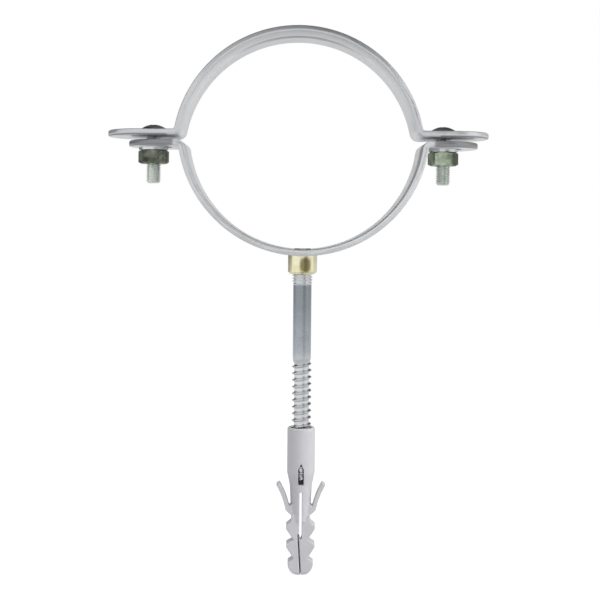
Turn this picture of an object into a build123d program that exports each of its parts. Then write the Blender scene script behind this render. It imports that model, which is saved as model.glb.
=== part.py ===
from build123d import *
import os
from math import sqrt

# Pipe clamp for a round downpipe: two half bands bolted at their ears, a threaded boss riveted
# under the lower half, a hanger screw and its nylon wall plug. Millimetres, +Z up. The origin is
# the mouth of the plug, where the screw leaves the wall, and the pipe runs along Y.

# Galvanised strip and pipe
pipe_diameter = 80
strip_width = 25
strip_thickness = 2
strip_edge_chamfer = 0.35
ear_bend_radius = 1

# Halves as they are drawn together without a pipe
upper_ear_height = 5.4
lower_ear_height = 3.4
ear_gap = 1.4
halves_offset = 1.7

# Ears
bolt_standoff = 7.5
upper_ear_overhang = 15.4
lower_ear_overhang = 10
upper_hole_diameter = 5.5
slot_width = 5.5
slot_end_clearance = 0.25

# Bolts, nuts and washers
bolt_diameter = 5
bolt_length = 17.7
head_diameter = 9.6
head_height = 2.3
head_rim_height = 0.8
head_top_diameter = 5
slot_cut_width = 1.2
slot_cut_depth = 1
left_slot_angle = 70
right_slot_angle = 55
bolt_end_chamfer = 0.5
nut_across_flats = 9
nut_height = 4.7
nut_face_diameter = 8.6
left_nut_angle = 9
right_nut_angle = -8
washer_diameter = 10
washer_thickness = 1
washer_clearance = 0.15
thread_clearance = 0.05

# Boss
boss_diameter = 10
boss_height = 6.4
boss_chamfer = 0.8
boss_bore_depth = 5.8
spigot_diameter = 5.8
rivet_head_diameter = 7.6
rivet_head_height = 0.4
spigot_clearance = 0.02

# Hanger screw
exposed_length = 52.5
machine_thread_diameter = 7
machine_thread_below_boss = 3.6
machine_thread_play = 0.2
shank_diameter = 6.3
wood_thread_diameter = 6.8
wood_thread_exposed = 23.8
wood_thread_buried = 15.4
point_length = 6.6
point_diameter = 1.2
collar_blend = 0.4

# Wall plug
collar_diameter = 9.5
collar_length = 15.4
neck_diameter = 7.6
neck_length = 4.4
waist_diameter = 6.5
waist_length = 10.2
first_tooth_drop = 2.1
first_tooth_diameter = 9.9
second_tooth_diameter = 9.7
tooth_face = 1.4
tooth_crest = 1.1
tooth_back = 3.8
tooth_root_diameter = 4.8
nose_diameter = 8.7
nose_length = 5.9
nose_radius = 4.2
tooth_width = 5.4
nose_side_radius = 1.6
bore_tail_diameter = 1.6
bore_tail_length = 8
window_width = 1.9
window_rise = 1.5
window_length = 5.5
window_point = 2.1
slit_width = 0.8
slit_gap = 2.5
slit_length = 16.2
tip_slit_width = 0.5
tip_slit_overlap = 1.8
tip_slit_shift = 0.4
tip_slit_lean = 3.5
tip_slit_turn = -9
wing_span = 17
wing_height = 10.7
wing_thickness = 1.35
wing_width = 4.5
wing_bend_radius = 28
wing_heel_reach = 5.15
wing_heel_rise = 1.8
wing_foot_height = 3.6
mouth_chamfer = 0.4

# Heights above the plug's mouth
seat_radius = pipe_diameter / 2
outer_radius = seat_radius + strip_thickness
boss_bottom = exposed_length
band_bottom = boss_bottom + boss_height
lower_centre = band_bottom + outer_radius
lower_ear_top = lower_centre - lower_ear_height
upper_ear_bottom = lower_ear_top + ear_gap
upper_centre = upper_ear_bottom - upper_ear_height
head_seat = upper_ear_bottom + strip_thickness
washer_top = lower_ear_top - strip_thickness
nut_top = washer_top - washer_thickness

# Depths below the plug's mouth
neck_depth = collar_length + neck_length
waist_depth = neck_depth + waist_length
tooth_pitch = tooth_face + tooth_crest + tooth_back
first_tooth_depth = waist_depth + first_tooth_drop
second_tooth_depth = first_tooth_depth + tooth_pitch
nose_depth = second_tooth_depth + tooth_pitch
plug_length = nose_depth + nose_length
window_top = collar_length - window_rise
window_bottom = window_top + window_length
slit_top = window_bottom + slit_gap
slit_bottom = slit_top + slit_length

# Stations across the ears
half_spacing = outer_radius + bolt_standoff
left_bolt_x = -half_spacing - halves_offset
right_bolt_x = half_spacing - halves_offset
slot_length = slot_width + 2 * (halves_offset + slot_end_clearance)


def band_profile(ear_height, ear_reach):
    # Side view of a half band about its arc centre, with the arc upward
    arc = Circle(outer_radius) - Circle(seat_radius)
    arc &= Pos(0, ear_height) * Rectangle(2 * ear_reach, outer_radius, align=(Align.CENTER, Align.MIN))
    ears = Pos(0, ear_height) * Rectangle(2 * ear_reach, strip_thickness, align=(Align.CENTER, Align.MIN))
    inside = Circle(seat_radius)
    profile = arc + (ears - inside)
    ear_top = ear_height + strip_thickness
    outer_x = sqrt(outer_radius**2 - ear_top**2)
    inner_x = sqrt(seat_radius**2 - ear_height**2)
    concave = [v for v in profile.vertices() if near(v, outer_x, ear_top)]
    profile = fillet(concave, ear_bend_radius)
    convex = [v for v in profile.vertices() if near(v, inner_x, ear_height)]
    return fillet(convex, ear_bend_radius + strip_thickness)


def near(vertex, x, y):
    return abs(abs(vertex.X) - x) < strip_thickness / 4 and abs(vertex.Y - y) < strip_thickness / 4


def band(ear_height, overhang):
    # Bent strip with full-round ear ends and eased edges
    reach = half_spacing + overhang
    solid = extrude(Plane.XZ * band_profile(ear_height, reach), strip_width / 2, both=True)
    outline = extrude(SlotOverall(2 * reach, strip_width), 2 * outer_radius, both=True)
    solid &= outline
    rims = [f for f in solid.faces() if is_rim(f)]
    edges = ShapeList(e for f in rims for e in f.edges() if not across_thickness(e))
    return chamfer(unique(edges), strip_edge_chamfer)


def is_rim(face):
    # Cut faces of the strip: the two flat sides and the round ends
    box = face.bounding_box()
    flat_side = box.size.Y < strip_edge_chamfer
    round_end = abs(box.size.Z - strip_thickness) < strip_edge_chamfer and face.geom_type == GeomType.CYLINDER
    return flat_side or round_end


def across_thickness(edge):
    box = edge.bounding_box()
    return abs(box.size.Z - strip_thickness) < strip_edge_chamfer and box.size.X + box.size.Y < strip_edge_chamfer


def unique(edges):
    kept = []
    for edge in edges:
        if not any(edge.is_same(other) for other in kept):
            kept.append(edge)
    return kept


def upper_half_band():
    solid = Pos(-halves_offset, 0, upper_centre) * band(upper_ear_height, upper_ear_overhang)
    for x in (left_bolt_x, right_bolt_x):
        solid -= Pos(x, 0, head_seat) * Cylinder(upper_hole_diameter / 2, 3 * strip_thickness)
    return solid


def lower_half_band():
    solid = Pos(0, 0, lower_centre) * Rot(Y=180) * band(lower_ear_height, lower_ear_overhang)
    slot = extrude(SlotOverall(slot_length, slot_width), 2 * strip_thickness, both=True)
    for x in (-half_spacing, half_spacing):
        solid -= Pos(x, 0, lower_ear_top) * slot
    hole = Cylinder(spigot_diameter / 2 + spigot_clearance, 3 * strip_thickness)
    return solid - Pos(0, 0, band_bottom) * hole


def slotted_bolt(x, angle):
    # Low head, coned over its rim, with a driver slot over a chamfered shank
    rim = Cylinder(head_diameter / 2, head_rim_height, align=(Align.CENTER, Align.CENTER, Align.MIN))
    cone = Cone(
        head_diameter / 2, head_top_diameter / 2, head_height - head_rim_height,
        align=(Align.CENTER, Align.CENTER, Align.MIN),
    )
    head = rim + Pos(0, 0, head_rim_height) * cone
    cut = Rot(Z=angle) * Box(
        2 * head_diameter, slot_cut_width, slot_cut_depth, align=(Align.CENTER, Align.CENTER, Align.MAX)
    )
    head -= Pos(0, 0, head_height) * cut
    shank = Cylinder(bolt_diameter / 2, bolt_length, align=(Align.CENTER, Align.CENTER, Align.MAX))
    shank = chamfer(shank.edges().sort_by(Axis.Z)[0], bolt_end_chamfer)
    return Pos(x, 0, head_seat) * (head + shank)


def hexagon_nut(x, angle):
    # Hexagon with both faces chamfered to the across-flats circle, bored to run on the bolt
    corner_radius = nut_across_flats / sqrt(3)
    blank = extrude(RegularPolygon(corner_radius, 6), nut_height)
    face_radius = nut_face_diameter / 2
    drop = (corner_radius - face_radius) / sqrt(3)
    turned = make_face(
        Polyline(
            (0, 0), (face_radius, 0), (corner_radius, drop), (corner_radius, nut_height - drop),
            (face_radius, nut_height), (0, nut_height), close=True,
        )
    )
    blank &= revolve(Plane.XZ * turned, Axis.Z)
    bore = Cylinder(bolt_diameter / 2 + thread_clearance, 3 * nut_height)
    return Pos(x, 0, nut_top - nut_height) * Rot(Z=angle) * (blank - bore)


def plain_washer(x):
    ring = Cylinder(washer_diameter / 2, washer_thickness) - Cylinder(
        bolt_diameter / 2 + washer_clearance, 2 * washer_thickness
    )
    return Pos(x, 0, washer_top - washer_thickness / 2) * ring


def threaded_boss():
    # Turned boss seated on the band, its spigot through the band and headed over inside
    body = Cylinder(boss_diameter / 2, boss_height + strip_thickness, align=(Align.CENTER, Align.CENTER, Align.MIN))
    body = chamfer(body.edges().sort_by(Axis.Z)[0], boss_chamfer)
    body = Pos(0, 0, boss_bottom) * body
    pipe_side = Pos(0, 0, lower_centre) * Rot(X=90) * Cylinder(outer_radius, 2 * strip_width)
    body -= pipe_side
    spigot_length = boss_height / 2 + strip_thickness + rivet_head_height
    spigot = Pos(0, 0, rivet_head_height) * Cylinder(
        spigot_diameter / 2, spigot_length, align=(Align.CENTER, Align.CENTER, Align.MAX)
    )
    rivet_head = Cone(
        rivet_head_diameter / 2, spigot_diameter / 2, 2 * rivet_head_height
    ) & (Pos(0, 0, seat_radius) * Rot(X=90) * Cylinder(seat_radius, strip_width))
    spigot = Pos(0, 0, band_bottom + strip_thickness) * (spigot + rivet_head)
    bore = Cylinder(
        machine_thread_diameter / 2 + thread_clearance, boss_bore_depth,
        align=(Align.CENTER, Align.CENTER, Align.MIN),
    )
    return body + spigot - Pos(0, 0, boss_bottom) * bore


def screw_outline():
    # Half section of the hanger screw from its point up to the machine thread, as (radius, height)
    wood = wood_thread_diameter / 2
    shank = shank_diameter / 2
    machine = machine_thread_diameter / 2
    point_top = -wood_thread_buried
    shank_bottom = wood_thread_exposed
    shank_top = boss_bottom - machine_thread_below_boss
    top = boss_bottom + boss_bore_depth - machine_thread_play
    return [
        (0, point_top - point_length), (point_diameter / 2, point_top - point_length), (wood, point_top),
        (wood, shank_bottom - collar_blend), (shank, shank_bottom), (shank, shank_top),
        (machine, shank_top + collar_blend), (machine, top - collar_blend), (machine - collar_blend, top), (0, top),
    ]


def hanger_screw():
    return revolve(Plane.XZ * make_face(Polyline(*screw_outline(), close=True)), Axis.Z)


def screw_bore():
    # Hole in the plug that follows the buried end of the screw
    wood = wood_thread_diameter / 2 + thread_clearance
    tail = bore_tail_diameter / 2
    point_top = -wood_thread_buried - thread_clearance
    point_bottom = point_top - point_length
    end = point_bottom - bore_tail_length
    outline = Polyline(
        (0, end), (tail, end), (tail, point_bottom), (wood, point_top), (wood, -mouth_chamfer),
        (wood + mouth_chamfer, 0), (wood + mouth_chamfer, strip_thickness), (0, strip_thickness), close=True,
    )
    return revolve(Plane.XZ * make_face(outline), Axis.Z)


def plug_body():
    # Round collar, shoulder and slender waist, which runs on inside the toothed plate
    collar = collar_diameter / 2
    waist = waist_diameter / 2
    outline = Polyline(
        (0, 0), (collar - mouth_chamfer, 0), (collar, -mouth_chamfer), (collar, -collar_length),
        (neck_diameter / 2, -neck_depth), (waist, -waist_depth), (waist, -first_tooth_depth),
        (0, -first_tooth_depth), close=True,
    )
    return revolve(Plane.XZ * make_face(outline), Axis.Z)


def tooth(top_depth, diameter, neck_diameter):
    # Half outline of one barb row, which rises steeply and then tapers back to the next row
    crest_end = top_depth + tooth_face + tooth_crest
    return [(neck_diameter / 2, -top_depth), (diameter / 2, -top_depth - tooth_face), (diameter / 2, -crest_end)]


def toothed_plate():
    # Barb rows and rounded nose seen from the front
    half = make_face(
        Polyline(
            (0, -waist_depth), (waist_diameter / 2, -waist_depth),
            *tooth(first_tooth_depth, first_tooth_diameter, waist_diameter),
            *tooth(second_tooth_depth, second_tooth_diameter, tooth_root_diameter),
            (tooth_root_diameter / 2, -nose_depth), (nose_diameter / 2, -nose_depth - tooth_face),
            (nose_diameter / 2, -plug_length), (0, -plug_length), close=True,
        )
    )
    corner = half.vertices().sort_by(Axis.Y)[:2].sort_by(Axis.X)[-1]
    half = fillet(corner, nose_radius)
    plate = extrude(Plane.XZ * (half + mirror(half, Plane.YZ)), tooth_width / 2, both=True)
    side_view = Pos(0, -waist_depth) * Rectangle(tooth_width, 2 * (plug_length - waist_depth))
    side_view = fillet(side_view.vertices().sort_by(Axis.Y)[:2], nose_side_radius)
    return plate & extrude(Plane.YZ * side_view, first_tooth_diameter, both=True)


def wing(side):
    # Curved anti-turn wing that springs towards the wall from a heel on the waist
    heel_height = -waist_depth + wing_heel_rise
    start = (side * (wing_heel_reach - wing_thickness / 2), heel_height)
    end = (side * (wing_span - wing_thickness) / 2, -waist_depth + wing_height)
    blade = trace(RadiusArc(start, end, side * wing_bend_radius), wing_thickness)
    root_x = side * waist_diameter / 4
    foot = make_face(
        Polyline(
            (root_x, -waist_depth), (side * waist_diameter / 2, -waist_depth), (side * wing_heel_reach, heel_height),
            (side * waist_diameter / 2, -waist_depth + wing_foot_height),
            (root_x, -waist_depth + wing_foot_height), close=True,
        )
    )
    return extrude(Plane.XZ * (blade + foot), wing_width / 2, both=True)


def plug_openings():
    # Window with a pointed top, see-through slit and the slit that splits the tip
    tall = window_bottom - window_top
    window = Pos(0, -window_top - tall / 2) * Rectangle(window_width, tall)
    half_width = window_width / 2
    window += make_face(
        Polyline((-half_width, -window_top), (0, -window_top + window_point), (half_width, -window_top), close=True)
    )
    slit_tall = slit_bottom - slit_top
    slit = Pos(0, -slit_top - slit_tall / 2) * Rectangle(slit_width, slit_tall)
    openings = extrude(Plane.XZ * (window + slit), collar_diameter, both=True)
    tip_tall = 2 * (plug_length - slit_bottom + tip_slit_overlap)
    tip = Pos(tip_slit_shift, -plug_length) * Rot(Z=tip_slit_lean) * Rectangle(tip_slit_width, tip_tall)
    return openings + Rot(Z=tip_slit_turn) * extrude(Plane.XZ * tip, collar_diameter, both=True)


def wall_plug():
    solid = plug_body() + toothed_plate() + wing(1) + wing(-1)
    return solid - screw_bore() - plug_openings()


nodes = {
    "upper_half_band": upper_half_band(),
    "lower_half_band": lower_half_band(),
    "left_bolt": slotted_bolt(left_bolt_x, left_slot_angle),
    "right_bolt": slotted_bolt(right_bolt_x, right_slot_angle),
    "left_washer": plain_washer(left_bolt_x),
    "right_washer": plain_washer(right_bolt_x),
    "left_nut": hexagon_nut(left_bolt_x, left_nut_angle),
    "right_nut": hexagon_nut(right_bolt_x, right_nut_angle),
    "threaded_boss": threaded_boss(),
    "hanger_screw": hanger_screw(),
    "wall_plug": wall_plug(),
}

os.makedirs("parts", exist_ok=True)
for name, shape in nodes.items():
    export_step(shape, f"parts/{name}.step")
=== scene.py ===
import bpy, bmesh, math
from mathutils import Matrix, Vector


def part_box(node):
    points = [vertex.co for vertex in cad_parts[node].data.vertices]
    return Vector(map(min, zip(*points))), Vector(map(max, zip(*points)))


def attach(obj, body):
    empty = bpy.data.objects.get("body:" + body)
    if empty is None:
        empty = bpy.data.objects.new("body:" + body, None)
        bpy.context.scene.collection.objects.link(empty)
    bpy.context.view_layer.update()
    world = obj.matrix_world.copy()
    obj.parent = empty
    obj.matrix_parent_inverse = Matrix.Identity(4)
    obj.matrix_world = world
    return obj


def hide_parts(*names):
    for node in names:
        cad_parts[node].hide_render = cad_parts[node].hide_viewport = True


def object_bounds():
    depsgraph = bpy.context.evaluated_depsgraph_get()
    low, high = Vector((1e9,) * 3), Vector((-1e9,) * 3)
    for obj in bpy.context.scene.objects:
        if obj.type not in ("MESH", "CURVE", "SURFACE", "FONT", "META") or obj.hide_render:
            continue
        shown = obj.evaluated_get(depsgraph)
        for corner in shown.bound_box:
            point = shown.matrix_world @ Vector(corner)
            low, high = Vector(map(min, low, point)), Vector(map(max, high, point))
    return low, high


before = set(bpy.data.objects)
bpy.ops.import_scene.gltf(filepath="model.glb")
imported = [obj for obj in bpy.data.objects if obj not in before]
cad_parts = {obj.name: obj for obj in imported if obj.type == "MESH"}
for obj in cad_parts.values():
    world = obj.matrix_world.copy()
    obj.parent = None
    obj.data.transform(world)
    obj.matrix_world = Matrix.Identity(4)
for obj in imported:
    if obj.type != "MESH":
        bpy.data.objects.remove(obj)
cad_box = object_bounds()

# Studio. The air is white all round, and the wall plug's tip touches a floor of white paper.
# The camera stands in front, a little below the pipe's axis, and looks slightly down. Its frame is
# shifted down to the plug.
camera_data = bpy.data.cameras.new("camera")
camera_data.lens = 68.58
camera_data.sensor_width = 36
camera_data.shift_y = -0.0955
camera_data.clip_start = 0.01
camera = bpy.data.objects.new("camera", camera_data)
camera.location = (-0.00267, -0.3916, 0.06866)
camera.rotation_euler = [math.radians(angle) for angle in (90 - 0.796, -0.454, -0.248)]
bpy.context.collection.objects.link(camera)
bpy.context.scene.camera = camera
bpy.context.scene.view_settings.view_transform = "Standard"


class Wire:
    """One output socket of a node tree. Arithmetic with numbers or other sockets adds Math nodes."""

    def __init__(self, tree, socket):
        self.tree, self.socket = tree, socket

    def node(self, kind, settings=(), **inputs):
        made = self.tree.nodes.new(kind)
        for name, value in dict(settings).items():
            setattr(made, name, value)
        for name, value in inputs.items():
            numbered = name[0] == "i" and name[1:].isdigit()
            key = int(name[1:]) if numbered else name.replace("_", " ")
            if isinstance(value, Wire):
                self.tree.links.new(value.socket, made.inputs[key])
            else:
                made.inputs[key].default_value = value
        return made

    def out(self, made, name=0):
        return Wire(self.tree, made.outputs[name])

    def maths(self, operation, other=None, flip=False):
        values = [self] if other is None else [other, self] if flip else [self, other]
        inputs = {f"i{n}": value for n, value in enumerate(values)}
        return self.out(self.node("ShaderNodeMath", {"operation": operation}, **inputs))

    def __add__(self, other):
        return self.maths("ADD", other)

    __radd__ = __add__

    def __mul__(self, other):
        return self.maths("MULTIPLY", other)

    __rmul__ = __mul__

    def __sub__(self, other):
        return self.maths("SUBTRACT", other)

    def __rsub__(self, other):
        return self.maths("SUBTRACT", other, flip=True)

    def __truediv__(self, other):
        return self.maths("DIVIDE", other)

    def __rtruediv__(self, other):
        return self.maths("DIVIDE", other, flip=True)

    def __pow__(self, other):
        return self.maths("POWER", other)

    def clamp(self, low=0.0, high=1.0):
        return self.out(self.node("ShaderNodeClamp", Value=self, Min=low, Max=high))

    def mix(self, first, second):
        return self.out(self.node("ShaderNodeMix", {"data_type": "RGBA"}, i0=self, i6=first, i7=second), 2)


# The air of the studio, as metal shows it: white all round, dark overhead and high up behind, greyer to
# the left and right behind the clamp, with one narrow dark flag to the right of the camera.
world = bpy.data.worlds.new("studio air")
bpy.context.scene.world = world
world.use_nodes = True
air = world.node_tree
air.nodes.clear()
start = Wire(air, None)
way = start.out(start.node("ShaderNodeTexCoord"), "Generated")
parts = start.node("ShaderNodeSeparateXYZ", Vector=way)
side, depth, height = (start.out(parts, axis) for axis in "XYZ")
flag_turn, flag_core, flag_edge = (math.radians(angle) for angle in (27, 13, 20))
reach = (side * side + depth * depth + 0.0001).maths("SQRT")
facing = (side * math.sin(flag_turn) + depth * -math.cos(flag_turn)) / reach
flag = ((facing - math.cos(flag_edge)) / (math.cos(flag_core) - math.cos(flag_edge))).clamp()
overhead = ((height + depth * 0.5 - 0.72) / 0.2).clamp()
behind = depth / reach
wings = ((behind + 0.05) / 0.2).clamp() * ((0.96 - behind) / 0.04).clamp()
glow = (1 - overhead * 0.88) * (1 - flag * 0.85) * (1 - wings * (0.66 - side * 0.24)) * 0.95
rays = start.node("ShaderNodeLightPath")
seen = start.out(rays, "Is Camera Ray")
mirrored = start.out(rays, "Is Glossy Ray")
fill = 0.45
strength = seen * (1 - fill) + fill
strength = mirrored * (glow - strength) + strength
background = start.node("ShaderNodeBackground", Color=(1, 1, 1, 1), Strength=strength)
start.node("ShaderNodeOutputWorld", Surface=start.out(background))


def softbox(name, place, size, power):
    """Rectangular lamp that points at the middle of the clamp, and that the metal doesn't mirror."""
    data = bpy.data.lights.new(name, "AREA")
    data.shape = "RECTANGLE"
    data.size, data.size_y = size
    data.energy = power
    lamp = bpy.data.objects.new(name, data)
    lamp.location = place
    lamp.rotation_euler = (Vector((0, 0, 0.06)) - Vector(place)).to_track_quat("-Z", "Y").to_euler()
    lamp.visible_glossy = False
    bpy.context.collection.objects.link(lamp)


softbox("right softbox", (0.75, -0.35, 0.25), (0.5, 0.9), 4.4)
softbox("left softbox", (-0.8, -0.25, 0.2), (0.4, 0.8), 0.4)
softbox("top softbox", (0.1, -0.35, 0.9), (0.7, 0.5), 2.2)

# White paper under the clamp. Metal sees it as an even sheet of light, a little brighter far away.
paper = bpy.data.materials.new("white paper")
paper.use_nodes = True
paper.node_tree.nodes.clear()
start = Wire(paper.node_tree, None)
cover = start.node("ShaderNodeBsdfDiffuse", Color=(0.8, 0.8, 0.8, 1))
sheen = start.node("ShaderNodeBsdfDiffuse", Color=(0.3, 0.3, 0.3, 1))
white = start.node("ShaderNodeEmission", Color=(1, 1, 1, 1), Strength=0.87)
bright = start.node("ShaderNodeAddShader", i0=start.out(sheen), i1=start.out(white))
rays = start.node("ShaderNodeLightPath")
seen = start.out(rays, "Is Camera Ray")
blend = start.node("ShaderNodeMixShader", i0=seen, i1=start.out(cover), i2=start.out(bright))
spot = start.out(start.node("ShaderNodeTexCoord"), "Object")
away = start.out(start.node("ShaderNodeVectorMath", {"operation": "LENGTH"}, i0=spot), 1)
sheet_glow = 0.70 + ((away - 0.15) / 0.35).clamp() * 0.25
sheet = start.node("ShaderNodeEmission", Color=(1, 1, 1, 1), Strength=sheet_glow)
mirrored = start.out(rays, "Is Glossy Ray")
whole = start.node("ShaderNodeMixShader", i0=mirrored, i1=start.out(blend), i2=start.out(sheet))
start.node("ShaderNodeOutputMaterial", Surface=start.out(whole))
floor_z = cad_box[0][2]
floor_mesh = bpy.data.meshes.new("floor")
floor_corners = [(x, y, floor_z) for x, y in ((-3, -3), (3, -3), (3, 3), (-3, 3))]
floor_mesh.from_pydata(floor_corners, [], [(0, 1, 2, 3)])
floor_mesh.materials.append(paper)
floor = bpy.data.objects.new("floor", floor_mesh)
bpy.context.collection.objects.link(floor)


def empty_material(name):
    """A material with no nodes, the start of its tree and the place on the object in metres."""
    material = bpy.data.materials.new(name)
    material.use_nodes = True
    material.node_tree.nodes.clear()
    start = Wire(material.node_tree, None)
    return material, start, start.out(start.node("ShaderNodeTexCoord"), "Object")


def metal(name, colour, roughness, spangle, grain, bump, tint=None, zones=(), metallic=1.0):
    """Plated metal with a mottled bloom. grain is the size of its patches in metres, and each zone is a
    rule from x, y and z in millimetres to a mask, with the colour that it lays over the rest."""
    material, start, place = empty_material(name)
    patches = start.node("ShaderNodeTexVoronoi", Vector=place, Scale=1 / grain)
    patch = start.out(start.node("ShaderNodeSeparateColor", Color=start.out(patches, "Color")), 0)
    cloud = start.out(start.node("ShaderNodeTexNoise", Vector=place, Scale=0.25 / grain, Detail=4.0), "Fac")
    fine = start.out(start.node("ShaderNodeTexNoise", Vector=place, Scale=6 / grain, Detail=3.0), "Fac")
    worn = (cloud * 1.6 + patch * 0.5 - 0.65).clamp()
    dark = tuple(c * (1 - spangle) for c in colour) + (1,)
    light = tuple(min(1.0, c * (1 + spangle * 0.6)) for c in (tint or colour)) + (1,)
    shade = worn.mix(dark, light)
    axes = start.node("ShaderNodeSeparateXYZ", Vector=place)
    spot = [start.out(axes, axis) * 1000 for axis in "XYZ"]
    for rule, over in zones:
        shade = rule(*spot).mix(shade, (*over, 1))
    rough = (roughness + (fine - 0.5) * 0.16 + (patch - 0.5) * 0.08).clamp(0.05, 1.0)
    relief = start.node("ShaderNodeBump", Strength=bump, Distance=0.0001, Height=fine * 0.7 + patch * 0.3)
    skin = start.node(
        "ShaderNodeBsdfPrincipled", Base_Color=shade, Metallic=metallic, Roughness=rough,
        Normal=start.out(relief, "Normal"),
    )
    start.node("ShaderNodeOutputMaterial", Surface=start.out(skin))
    return material


# Galvanised half bands. Each is one piece of cold-bent strip, 25 by 2 mm, with eased edges and round
# ear ends: bright zinc with a faint spangle, with painted dark reflections on the edge over the crown and
# on the inner face at the crown, and painted shade on the ear edges.
# Sizes of the rules below are in millimetres.
halves_offset = 1.7
upper_centre = 93.5
seat_radius = 40
strip_half_width = 12.5
upper_ear_end, lower_ear_end = 52.4, 47.0


def rim(x, y, ear_end):
    """1 on the strip's narrow cut edge, which runs round the arcs centred ear_end to either side."""
    past = (x.maths("ABSOLUTE") - ear_end).maths("MAXIMUM", 0.0)
    return (((past * past + y * y).maths("SQRT") - (strip_half_width - 0.5)) * 6).clamp()


def above_seat(x, z):
    """Millimetres out from the upper half's inner face."""
    across, up = x + halves_offset, z - upper_centre
    return (across * across + up * up).maths("SQRT") - seat_radius


def painted_dark_crown_edge(x, y, z):
    """Painted dark reflection on the outer half of the cut edge, over the top of the ring."""
    outside = ((above_seat(x, z) - 0.5) * 2).clamp()
    return rim(x, y, upper_ear_end) * outside * ((z - 116) / 22).clamp() * 0.85


def painted_dark_inner_line(x, y, z):
    """Painted dark reflection in a line along the middle of the inner face, at the top of the ring."""
    inside = ((0.6 - above_seat(x, z)) * 4).clamp()
    return inside * (2.7 - (y + 0.5).maths("ABSOLUTE")).clamp() * ((z - 126) / 7).clamp() * 0.75


def painted_ear_underside_shade(x, y, z):
    """Painted shade along the lower corner of the upper ears, over the gap between the ears."""
    edge = rim(x + halves_offset, y, upper_ear_end)
    return edge * (x.maths("ABSOLUTE") - 45).clamp() * ((99.5 - z) * 3).clamp() * 0.7


# Painted shade on the cut edge of the lower ears.
def painted_lower_ear_shade(x, y, z):
    return rim(x, y, lower_ear_end) * (x.maths("ABSOLUTE") - 43).clamp() * 0.7


def galvanised(name, colour, dark_places):
    # Each dark place lays painted shade or a painted dark reflection over the zinc.
    zones = [(rule, (0.12, 0.12, 0.13)) for rule in dark_places]
    return metal(name, colour, 0.34, 0.07, 0.0024, 0.06, zones=zones, metallic=0.65)


upper_zinc = galvanised(
    "galvanised upper strip", (0.69, 0.70, 0.72), [painted_dark_crown_edge, painted_dark_inner_line, painted_ear_underside_shade],
)
lower_zinc = galvanised("galvanised lower strip", (0.74, 0.75, 0.77), [painted_lower_ear_shade])


def shade_smooth(shape, sharp_from):
    """Shades a bmesh smooth, apart from edges that turn by sharp_from degrees or more."""
    for face in shape.faces:
        face.smooth = True
    for edge in shape.edges:
        edge.smooth = len(edge.link_faces) == 2 and edge.calc_face_angle(0) < math.radians(sharp_from)


def linked(name, mesh):
    piece = bpy.data.objects.new(name, mesh)
    bpy.context.collection.objects.link(piece)
    return piece


def eased_copy(node, name, material, sharp_from):
    """A merged copy of a CAD piece, with its rounded faces shaded smooth."""
    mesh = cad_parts[node].data.copy()
    mesh.name = name
    shape = bmesh.new()
    shape.from_mesh(mesh)
    bmesh.ops.remove_doubles(shape, verts=shape.verts, dist=1e-6)
    bmesh.ops.dissolve_limit(shape, angle_limit=0.0005, verts=shape.verts, edges=shape.edges)
    shade_smooth(shape, sharp_from)
    shape.to_mesh(mesh)
    shape.free()
    mesh.materials.clear()
    mesh.materials.append(material)
    return linked(name, mesh)


for node, body, zinc in (
    ("upper_half_band", "upper_half", upper_zinc),
    ("lower_half_band", "lower_half", lower_zinc),
):
    band = eased_copy(node, "strip_" + node, zinc, 50)
    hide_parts(node)
    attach(band, body)


# Slotted bolts. Two zinc-plated 5 mm bolts with low mushroom heads, heads up, each a one-piece
# cold-headed blank with a rolled thread down to a chamfered end.
def threaded_rod(name, material, sizes, profile):
    """Geometry Nodes rod about Z: a skin of rows and columns whose radius follows profile. The first and
    last rows shrink to a point, which closes the ends. Each name in sizes becomes an input."""
    tree = bpy.data.node_groups.new(name + " rule", "GeometryNodeTree")
    tree.interface.new_socket("Geometry", in_out="OUTPUT", socket_type="NodeSocketGeometry")
    for key in sizes:
        kind = "NodeSocketInt" if key in ("Rows", "Columns") else "NodeSocketFloat"
        tree.interface.new_socket(key, in_out="INPUT", socket_type=kind)
    given = tree.nodes.new("NodeGroupInput")
    start = Wire(tree, None)
    size = {key: start.out(given, key) for key in sizes}
    grid = start.node(
        "GeometryNodeMeshGrid", Size_X=1.0, Size_Y=1.0, Vertices_X=size["Columns"], Vertices_Y=size["Rows"],
    )
    spot = start.node("ShaderNodeSeparateXYZ", Vector=start.out(start.node("GeometryNodeInputPosition")))
    turn = (start.out(spot, "X") + 0.5) * math.tau
    climb = start.out(spot, "Y") + 0.5
    step = 1 / (size["Rows"] - 1)
    inside = ((climb - step) / (1 - 2 * step)).clamp()
    z = size["Bottom"] + inside * (size["Top"] - size["Bottom"])
    from_bottom, from_top = climb - step * 0.5, 1 - step * 0.5 - climb
    cap = from_bottom.maths("GREATER_THAN", 0.0) * from_top.maths("GREATER_THAN", 0.0)
    radius = profile(size, z, turn) * cap
    x, y = turn.maths("COSINE") * radius, turn.maths("SINE") * radius
    place = start.out(start.node("ShaderNodeCombineXYZ", X=x + size["Centre X"], Y=y, Z=z))
    moved = start.node("GeometryNodeSetPosition", Geometry=start.out(grid), Position=place)
    closed = start.node("GeometryNodeMergeByDistance", Geometry=start.out(moved), Distance=1e-6)
    smooth = start.node("GeometryNodeSetShadeSmooth", Geometry=start.out(closed))
    real = start.node("GeometryNodeRealizeInstances", Geometry=start.out(smooth))
    clad = start.node("GeometryNodeSetMaterial", Geometry=start.out(real), Material=material)
    tree.links.new(clad.outputs[0], tree.nodes.new("NodeGroupOutput").inputs[0])
    return tree


def evaluated(piece):
    return bpy.data.meshes.new_from_object(piece.evaluated_get(bpy.context.evaluated_depsgraph_get()))


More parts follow.
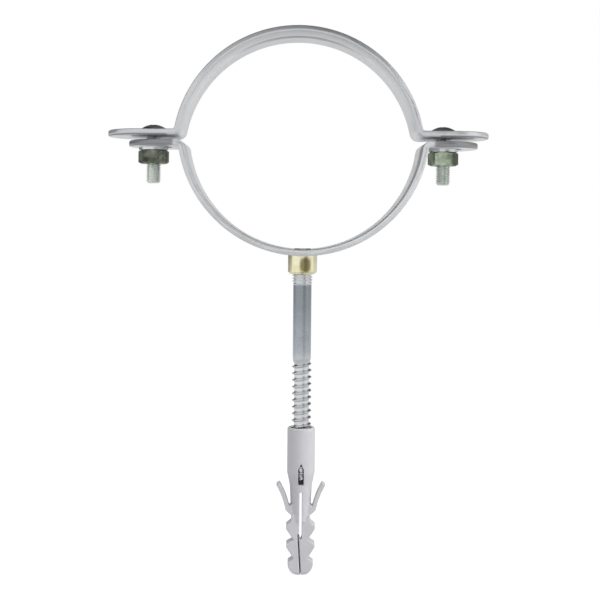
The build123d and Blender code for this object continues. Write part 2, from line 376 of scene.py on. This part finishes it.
def grown(name, tree, sizes):
    """The tree's result as a plain mesh object."""
    seed = linked(name + " seed", bpy.data.meshes.new(name + " seed"))
    modifier = seed.modifiers.new("rule", "NODES")
    modifier.node_group = tree
    for item in tree.interface.items_tree:
        if item.item_type == "SOCKET" and item.in_out == "INPUT":
            modifier[item.identifier] = sizes[item.name]
    mesh = evaluated(seed)
    mesh.name = name
    bpy.data.objects.remove(seed)
    return linked(name, mesh)


def ridge(z, turn, pitch):
    """1 on a thread's crest and 0 in its root, for a right-hand thread."""
    lap = (z / pitch - turn / math.tau).maths("FRACT")
    return 1 - (lap * 2 - 1).maths("ABSOLUTE")


def bolt_thread(size, z, turn):
    """Radius of a bolt: rolled thread from a chamfered end up to the plain neck."""
    crest = (ridge(z, turn, size["Pitch"]) * 1.5 - 0.2).clamp()
    fade = ((size["Plain From"] - z) / size["Pitch"]).clamp()
    tall = size["Crest Radius"] - size["Root Radius"]
    full = size["Root Radius"] + crest * fade * tall + (1 - fade) * tall * 0.9
    chamfer = (z - size["Bottom"]) + size["End Radius"]
    return full.maths("MINIMUM", chamfer)


# Painted dark reflection over the tops of the bolt heads' domes.
def painted_dark_dome(x, y, z):
    return ((z - 102.0) * 1.4).clamp() * 0.85


zinc_bolt = metal(
    "zinc plated bolt", (0.80, 0.84, 0.80), 0.24, 0.25, 0.0012, 0.2,
    zones=[(painted_dark_dome, (0.10, 0.10, 0.09))],
)
bolt_sizes = {
    "Bottom": 0.0832, "Top": 0.1010, "Centre X": 0.0, "Root Radius": 0.00206, "Crest Radius": 0.0025,
    "Pitch": 0.0008, "End Radius": 0.0018, "Plain From": 0.0992, "Rows": 180, "Columns": 48,
}
bolt_rule = threaded_rod("bolt thread", zinc_bolt, bolt_sizes, bolt_thread)
head_base = 0.1009


def slotted_head(radius, height, rim_height, slot_width, slot_depth, slot_angle):
    """Mesh of a domed head on the origin, turned about Z, with the driver slot cut through it."""
    sides, steps = 64, 12
    eased = 0.00012
    rise = height - rim_height
    dome = (radius * radius + rise * rise) / (2 * rise)
    outline = [(0.0005, 0.0), (radius - eased, 0.0), (radius, eased), (radius, rim_height)]
    for n in range(1, steps + 1):
        r = radius * math.cos(n / steps * math.pi / 2)
        outline.append((r, rim_height + math.sqrt(max(0.0, dome * dome - r * r)) - (dome - rise)))
    shape = bmesh.new()
    turns = [math.tau * k / sides for k in range(sides)]
    rings = [
        [shape.verts.new((r * math.cos(turn), r * math.sin(turn), z)) for turn in turns]
        for r, z in outline[:-1]
    ]
    top = shape.verts.new((0, 0, outline[-1][1]))
    for low, high in zip(rings, rings[1:]):
        for k in range(sides):
            shape.faces.new((low[k], low[(k + 1) % sides], high[(k + 1) % sides], high[k]))
    for k in range(sides):
        shape.faces.new((rings[-1][k], rings[-1][(k + 1) % sides], top))
    shape.faces.new(list(reversed(rings[0])))
    mesh = bpy.data.meshes.new("head")
    shape.to_mesh(mesh)
    shape.free()
    head = linked("head", mesh)

    block = bmesh.new()
    bmesh.ops.create_cube(block, size=1.0)
    for vert in block.verts:
        up = height - slot_depth + (vert.co.z + 0.5) * 0.01
        vert.co = Vector((vert.co.x * radius * 3, vert.co.y * slot_width, up))
    cut = bpy.data.meshes.new("slot cut")
    block.to_mesh(cut)
    block.free()
    cutter = linked("slot cut", cut)
    cutter.rotation_euler = (0, 0, math.radians(slot_angle))
    carve = head.modifiers.new("slot", "BOOLEAN")
    carve.object = cutter
    carve.solver = "EXACT"
    bpy.context.view_layer.update()
    done = evaluated(head)
    bpy.data.objects.remove(head)
    bpy.data.objects.remove(cutter)
    return done


for node, slot_angle in (("left_bolt", 70), ("right_bolt", 55)):
    low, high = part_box(node)
    centre_x = (low[0] + high[0]) / 2
    bolt = grown("threaded_" + node, bolt_rule, {**bolt_sizes, "Centre X": centre_x})
    head = slotted_head(
        radius=0.0048, height=0.0023, rim_height=0.0005, slot_width=0.0012, slot_depth=0.001,
        slot_angle=slot_angle,
    )
    joined = bmesh.new()
    joined.from_mesh(bolt.data)
    count = len(joined.verts)
    joined.from_mesh(head)
    joined.verts.ensure_lookup_table()
    for vert in joined.verts[count:]:
        vert.co += Vector((centre_x, 0, head_base))
    for face in joined.faces:
        face.material_index = 0
    shade_smooth(joined, 40)
    joined.to_mesh(bolt.data)
    joined.free()
    bolt.data.materials.clear()
    bolt.data.materials.append(zinc_bolt)
    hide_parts(node)
    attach(bolt, "upper_half")


# Plain washers, 10 by 1 mm, pressed from bright zinc-plated sheet and loose on the bolts.
washer_zinc = metal("washer zinc", (0.78, 0.80, 0.82), 0.24, 0.10, 0.0015, 0.12)
for node in ("left_washer", "right_washer"):
    piece = eased_copy(node, "bright_" + node, washer_zinc, 40)
    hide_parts(node)
    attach(piece, "lower_half")


# Hexagon nuts, 9 mm across flats, with turned corners. Dark olive passivation on the left one, and a
# greener one on the right, with a painted dark reflection on its right-hand facet.
# Painted dark reflection on the right nut's right-hand facets.
def painted_dark_facet(x, y, z):
    return ((x - 50.1) * 2).clamp() * 0.75


for node, name, colour, pale, zones in (
    ("left_nut", "dark olive nut", (0.14, 0.155, 0.125), (0.34, 0.38, 0.30), []),
    (
        "right_nut", "green olive nut", (0.27, 0.34, 0.23), (0.56, 0.64, 0.50),
        [(painted_dark_facet, (0.07, 0.08, 0.06))],
    ),
):
    finish = metal(name, colour, 0.36, 0.35, 0.0013, 0.3, tint=pale, zones=zones)
    piece = eased_copy(node, "turned_" + node, finish, 25)
    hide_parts(node)
    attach(piece, node)


# Threaded boss. A turned, yellow-passivated steel collar riveted through the lower half by its spigot.
def riveted_over(x, y, z):
    """The spigot's headed end, inside the ring."""
    return ((z - 60.4) * 3).clamp() * 0.85


def painted_dark_boss_front(x, y, z):
    """Painted dark reflection: a brown spot on the boss's front."""
    across, along = (x - 0.9) / 2.2, (z - 55.7) / 3.0
    spot = (1 - across * across).clamp() * (1 - along * along).clamp()
    return (-2 - y).clamp() * (spot * 1.8).clamp() * 0.85


# Painted shade down both sides of the boss, heavier on the left.
def painted_shaded_flanks(x, y, z):
    return ((x.maths("ABSOLUTE") - 3.9) * 1.3).clamp() * (0.55 - x * 0.05)


brassy = metal(
    "yellow passivated boss", (0.93, 0.87, 0.55), 0.15, 0.10, 0.0016, 0.1, tint=(1.0, 0.98, 0.80),
    zones=[
        (riveted_over, (0.55, 0.55, 0.54)),
        (painted_dark_boss_front, (0.17, 0.13, 0.03)),
        (painted_shaded_flanks, (0.22, 0.20, 0.11)),
    ],
)
boss = eased_copy("threaded_boss", "turned_boss", brassy, 40)
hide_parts("threaded_boss")
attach(boss, "lower_half")


# Hanger screw, one piece: a 7 mm machine thread in the boss, a plain bare shank, and a coarse wood
# thread that runs down into the wall plug to a point. Bluish zinc plate.
def screw_profile(size, z, turn):
    """Radius of the hanger screw from its point up to the machine thread."""
    wood = (ridge(z, turn, size["Wood Pitch"]) * 2.2 - 1.0).clamp()
    wood_fade = ((size["Wood Top"] - z) / size["Wood Pitch"]).clamp()
    point = ((z - size["Bottom"]) / size["Point Length"]).clamp(0.16, 1.0)
    machine = (ridge(z, turn, size["Machine Pitch"]) * 1.5 - 0.2).clamp()
    machine_fade = ((z - size["Machine Bottom"]) / size["Machine Pitch"]).clamp()
    below = (size["Wood Top"] - z).maths("GREATER_THAN", 0.0)
    above = (z - size["Machine Bottom"]).maths("GREATER_THAN", 0.0)
    shank = size["Shank Radius"]
    root = size["Wood Root"] + (1 - wood_fade) * (shank - size["Wood Root"])
    wood_radius = root + wood * wood_fade * (size["Wood Crest"] - root)
    machine_root = shank + machine_fade * (size["Machine Root"] - shank)
    machine_radius = machine_root + machine * machine_fade * (size["Machine Crest"] - size["Machine Root"])
    return (below * (wood_radius - shank) + above * (machine_radius - shank) + shank) * point


def bright_thread(x, y, z):
    return ((z - 48.9) * 2).clamp() * 0.8


# Darker up the shank towards the boss.
def shank_darker_upward(x, y, z):
    return ((z - 22) / 20).clamp() * ((48.9 - z) * 2).clamp() * 0.7


def clean_thread(x, y, z):
    return ((26 - z) / 6).clamp() * 0.75


screw_zinc = metal(
    "blue zinc screw", (0.50, 0.54, 0.58), 0.28, 0.18, 0.0018, 0.2,
    zones=[
        (bright_thread, (0.88, 0.89, 0.90)),
        (shank_darker_upward, (0.22, 0.24, 0.27)),
        (clean_thread, (0.86, 0.86, 0.87)),
    ],
)
screw_sizes = {
    "Bottom": -0.0220, "Top": 0.0581, "Centre X": 0.0, "Wood Root": 0.0026, "Wood Crest": 0.0034,
    "Wood Pitch": 0.0023, "Wood Top": 0.0238, "Point Length": 0.0066, "Machine Pitch": 0.001,
    "Machine Bottom": 0.0489, "Machine Root": 0.0029, "Machine Crest": 0.0035, "Shank Radius": 0.00315,
    "Rows": 640, "Columns": 56,
}
screw_rule = threaded_rod("hanger screw", screw_zinc, screw_sizes, screw_profile)
screw = grown("threaded_hanger_screw", screw_rule, screw_sizes)
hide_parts("hanger_screw")
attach(screw, "screw")


# Wall plug, moulded in pale grey nylon: collar, shoulder with a pointed window, see-through slit, wings,
# barb rows and a split nose. Its edges are soft from the mould.
def nylon(name, colour):
    material, start, place = empty_material(name)
    cloud = start.out(start.node("ShaderNodeTexNoise", Vector=place, Scale=220.0, Detail=3.0), "Fac")
    fine = start.out(start.node("ShaderNodeTexNoise", Vector=place, Scale=1500.0, Detail=2.0), "Fac")
    dark, light = (tuple(min(1.0, c * share) for c in colour) + (1,) for share in (0.93, 1.05))
    shade = cloud.mix(dark, light)
    relief = start.node("ShaderNodeBump", Strength=0.15, Distance=0.00005, Height=fine)
    skin = start.node(
        "ShaderNodeBsdfPrincipled", Base_Color=shade, Roughness=0.38 + fine * 0.14, IOR=1.53,
        Normal=start.out(relief, "Normal"),
    )
    start.node("ShaderNodeOutputMaterial", Surface=start.out(skin))
    return material


grey_nylon = nylon("grey nylon", (0.68, 0.67, 0.70))
plug = eased_copy("wall_plug", "moulded_wall_plug", grey_nylon, 180)
remesh = plug.modifiers.new("skin", "REMESH")
remesh.mode = "VOXEL"
remesh.voxel_size = 0.00016
ease = plug.modifiers.new("soft edges", "SMOOTH")
ease.factor = 0.5
ease.iterations = 2
moulded = evaluated(plug)
plug.modifiers.clear()
plug.data = moulded
for face in moulded.polygons:
    face.use_smooth = True
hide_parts("wall_plug")
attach(plug, "plug")
